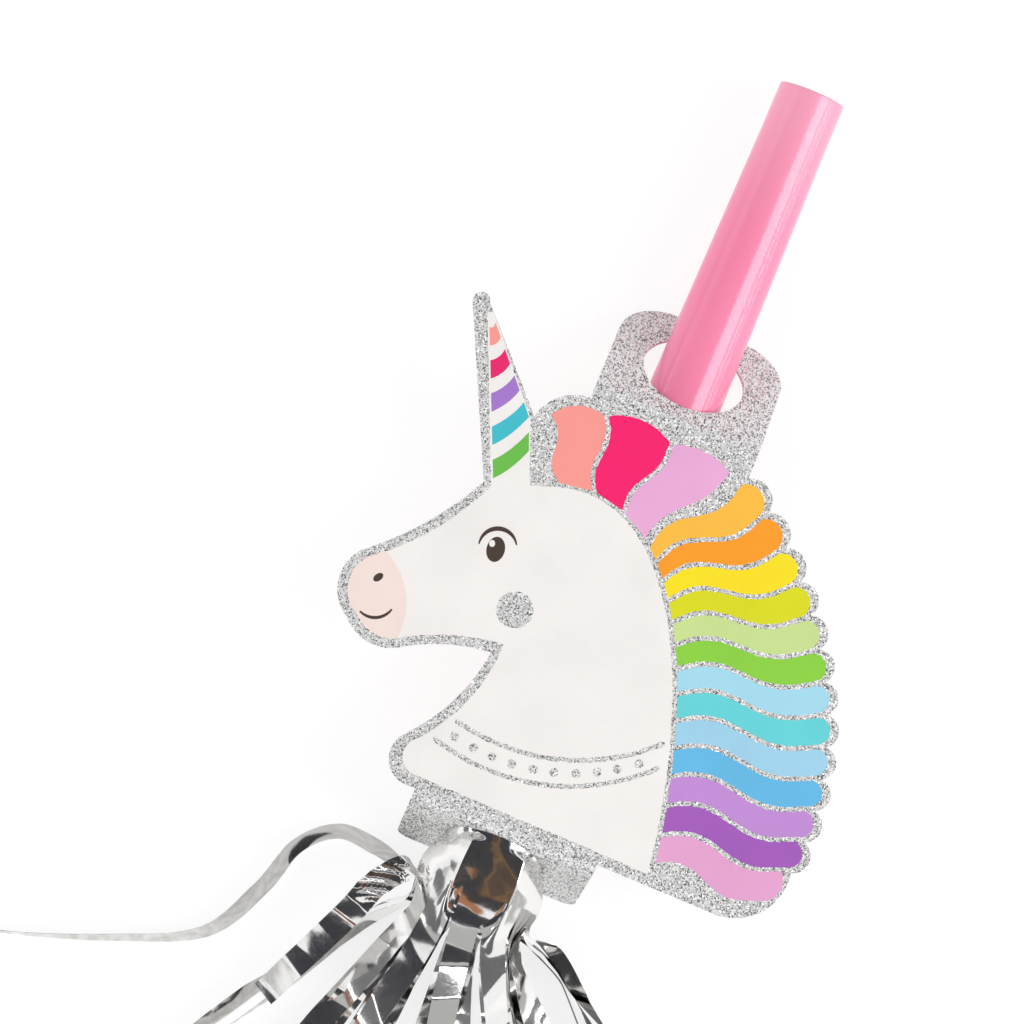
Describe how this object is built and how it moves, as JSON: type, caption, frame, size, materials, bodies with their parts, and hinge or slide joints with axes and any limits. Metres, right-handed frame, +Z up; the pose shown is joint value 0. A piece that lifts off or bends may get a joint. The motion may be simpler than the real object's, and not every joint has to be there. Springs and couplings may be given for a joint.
{
  "type": "party horn blower",
  "caption": "Tapered plastic party horn with a reed inside, a folded unicorn-head card that slides on the tube and a fringe of foil strips round its bell.",
  "frame": {"origin": "middle of the horn's mouth end, on the horn's axis", "axes": "+Y along the horn's axis and out of its mouth, +Z up from the table through the picture side of the card, +X to the right of the upright card's back, where the mane is"},
  "size_m": [0.1763, 0.247, 0.0207],
  "materials": {
    "pink_tube": "thin translucent pink polypropylene, glossy",
    "reed_body": "natural white polyethylene, moulded",
    "reed_film": "stiff polyester film",
    "white_board": "uncoated white card",
    "glitter_film": "silver glitter film, printed with gloss inks",
    "silver_foil": "metallised polyester film, mirror bright and creased",
    "clear_tape": "clear adhesive tape"
  },
  "bodies": {
    "mouthpiece": {"horn_tube": "pink_tube", "reed_plug": "reed_body", "reed_wedge": "reed_body", "foil_heading": "silver_foil", "fringe_tape": "clear_tape", "fringe_strip_04": "silver_foil", "fringe_strip_05": "silver_foil", "fringe_strip_06": "silver_foil", "fringe_strip_07": "silver_foil", "fringe_strip_08": "silver_foil", "fringe_strip_14": "silver_foil", "fringe_strip_15": "silver_foil", "fringe_strip_16": "silver_foil", "fringe_strip_17": "silver_foil", "fringe_strip_18": "silver_foil", "fringe_strip_24": "silver_foil", "fringe_strip_25": "silver_foil", "fringe_strip_26": "silver_foil", "fringe_strip_27": "silver_foil", "fringe_strip_28": "silver_foil"},
    "card": {"card_board": "white_board", "glitter_face": "glitter_film"},
    "reed": {"reed_tongue": "reed_film"},
    "fringe": {"fringe_strip_01": "silver_foil", "fringe_strip_02": "silver_foil", "fringe_strip_03": "silver_foil", "fringe_strip_09": "silver_foil", "fringe_strip_10": "silver_foil", "fringe_strip_11": "silver_foil", "fringe_strip_12": "silver_foil", "fringe_strip_13": "silver_foil", "fringe_strip_19": "silver_foil", "fringe_strip_20": "silver_foil", "fringe_strip_21": "silver_foil", "fringe_strip_22": "silver_foil", "fringe_strip_23": "silver_foil", "fringe_strip_29": "silver_foil", "fringe_strip_30": "silver_foil"}
  },
  "joints": [
    {"name": "card_slide", "type": "slide", "parent": "mouthpiece", "child": "card", "axis": [0, 1, 0], "range_m": [0, 0.044]},
    {"name": "reed_flutter", "type": "hinge", "parent": "mouthpiece", "child": "reed", "pos_m": [0, -0.08835, 0.00095], "axis": [-1, 0, 0], "range_deg": [0, 2.8], "stiffness_Nm_per_rad": 0.00005},
    {"name": "fringe_lift", "type": "hinge", "parent": "mouthpiece", "child": "fringe", "pos_m": [0, -0.147, 0.00816], "axis": [-1, 0, 0], "range_deg": [0, 60]}
  ]
}
